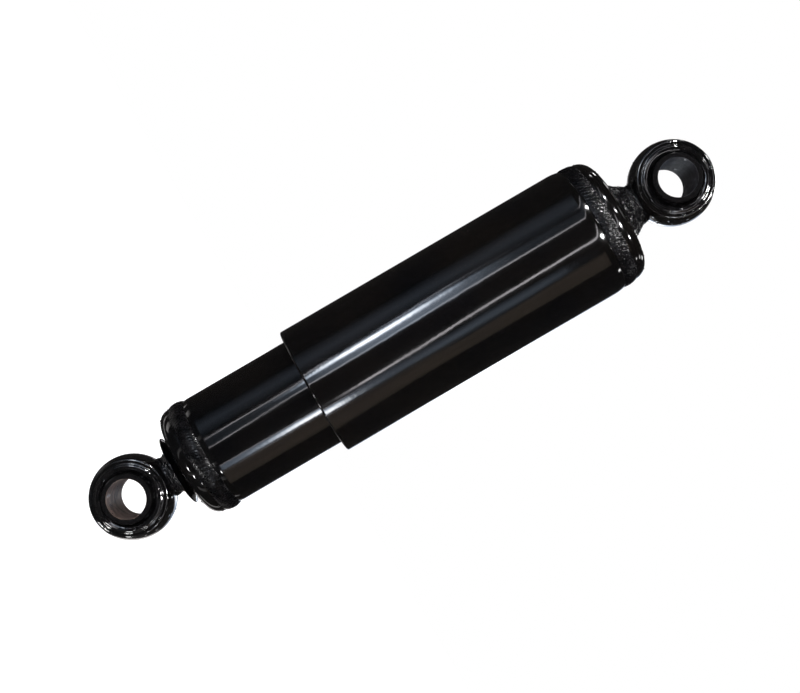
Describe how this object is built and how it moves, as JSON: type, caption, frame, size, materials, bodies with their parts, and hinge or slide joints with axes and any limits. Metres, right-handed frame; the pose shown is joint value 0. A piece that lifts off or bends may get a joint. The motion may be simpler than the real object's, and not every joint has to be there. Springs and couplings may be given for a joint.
{
  "type": "trailer shock absorber",
  "caption": "Twin-tube hydraulic shock absorber for a trailer axle, with a rubber-bushed eye at each end and a steel dust cover that slides over the reservoir.",
  "frame": {"origin": "middle of the lower eye's bore", "axes": "+Z along the shock from the lower eye to the upper eye; +Y along both bores"},
  "size_m": [0.0826, 0.0826, 0.4302],
  "materials": {
    "black_paint": "gloss black enamel",
    "painted_weld": "rough weld metal under gloss black enamel",
    "bush_rubber": "moulded rubber, sprayed over with the gloss enamel",
    "sleeve_steel": "drawn steel, bare inside",
    "machined_steel": "turned or pressed, oiled",
    "sintered_iron": "sintered, fine grained",
    "spring_steel": "blued strip",
    "rod_chrome": "hard chrome, ground",
    "bronze": "bearing bronze",
    "band_plastic": "filled fluoroplastic",
    "seal_rubber": "nitrile",
    "buffer_elastomer": "hard elastomer"
  },
  "bodies": {
    "lower_sleeve": {"lower_bush_sleeve": "sleeve_steel"},
    "cylinder": {"lower_eye_ring": "black_paint", "lower_eye_rubber": "bush_rubber", "lower_eye_weld": "painted_weld", "base_flange": "black_paint", "base_cap": "black_paint", "base_seam_weld": "painted_weld", "reservoir_tube": "black_paint", "pressure_tube": "machined_steel", "base_valve_body": "sintered_iron", "compression_shim_1": "spring_steel", "compression_shim_2": "spring_steel", "compression_shim_3": "spring_steel", "base_valve_bolt": "machined_steel", "base_valve_nut": "machined_steel", "base_check_stop": "spring_steel", "base_check_spring": "spring_steel", "rod_guide": "sintered_iron", "rod_guide_bush": "bronze", "guide_o_ring": "seal_rubber", "rod_seal": "seal_rubber", "seal_garter_spring": "spring_steel", "seal_backing_washer": "machined_steel", "gland_nut": "machined_steel", "wiper_seal": "seal_rubber"},
    "piston_band": {"piston_band": "band_plastic"},
    "rod": {"piston_rod": "rod_chrome", "piston": "sintered_iron", "rebound_shim_1": "spring_steel", "rebound_shim_2": "spring_steel", "rebound_shim_3": "spring_steel", "piston_nut": "machined_steel", "piston_check_stop": "spring_steel", "piston_check_spring": "spring_steel", "rebound_stop_collar": "machined_steel", "rebound_buffer": "buffer_elastomer", "cover_cap": "black_paint", "dust_cover_tube": "black_paint", "cover_seam_weld": "painted_weld", "upper_eye_weld": "painted_weld", "upper_eye_ring": "black_paint", "upper_eye_rubber": "bush_rubber"},
    "upper_sleeve": {"upper_bush_sleeve": "sleeve_steel"},
    "piston_check_plate": {"piston_check_plate": "spring_steel"},
    "base_check_plate": {"base_check_plate": "spring_steel"}
  },
  "joints": [
    {"name": "lower_bush_twist", "type": "hinge", "parent": "lower_sleeve", "child": "cylinder", "pos_m": [0, 0, 0], "axis": [0, 1, 0], "range_deg": [-15, 15], "stiffness_Nm_per_rad": 60},
    {"name": "rod_slide", "type": "slide", "parent": "cylinder", "child": "piston_band", "axis": [0, 0, 1], "range_m": [-0.062, 0.06]},
    {"name": "rod_spin", "type": "hinge", "parent": "piston_band", "child": "rod", "pos_m": [0, 0, 0.245], "axis": [0, 0, 1], "continuous": true},
    {"name": "upper_bush_twist", "type": "hinge", "parent": "rod", "child": "upper_sleeve", "pos_m": [0, 0, 0.3778], "axis": [0, 1, 0], "range_deg": [-15, 15], "stiffness_Nm_per_rad": 60},
    {"name": "piston_check_lift", "type": "slide", "parent": "rod", "child": "piston_check_plate", "axis": [0, 0, 1], "range_m": [0, 0.0012], "stiffness_N_per_m": 150, "springref_m": -0.004, "deforming": ["piston_check_spring"]},
    {"name": "base_check_lift", "type": "slide", "parent": "cylinder", "child": "base_check_plate", "axis": [0, 0, 1], "range_m": [0, 0.0012], "stiffness_N_per_m": 150, "springref_m": -0.004, "deforming": ["base_check_spring"]}
  ]
}
